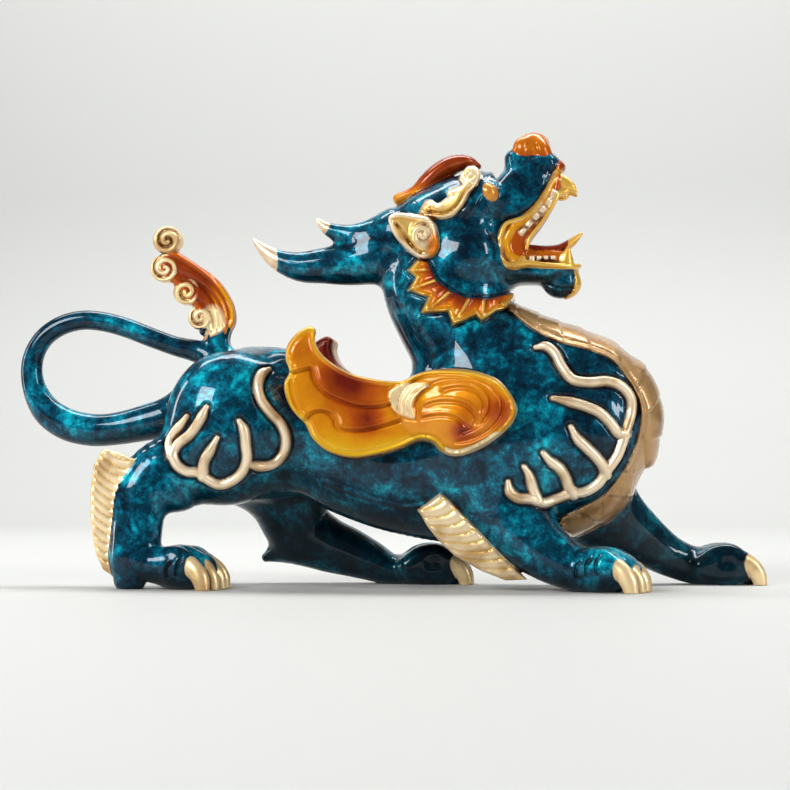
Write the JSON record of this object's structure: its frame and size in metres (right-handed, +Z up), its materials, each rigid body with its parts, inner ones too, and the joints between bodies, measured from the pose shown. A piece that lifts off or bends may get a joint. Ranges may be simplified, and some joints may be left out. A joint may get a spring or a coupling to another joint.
{
  "type": "pixiu statue",
  "caption": "Cast statue of a striding winged pixiu, head thrown back, with a forked horn, looped tail and tail flame; stands on its feet.",
  "frame": {"origin": "centre of the bounding box, on the plane that the soles stand on", "axes": "+X forwards, the way the head points; +Y to the animal's left; +Z up"},
  "size_m": [0.378, 0.1062, 0.2252],
  "materials": {
    "lacquer": "gloss teal lacquer over cast copper alloy, with gold and amber details"
  },
  "bodies": {
    "root": {"pixiu": "lacquer"}
  },
  "joints": []
}
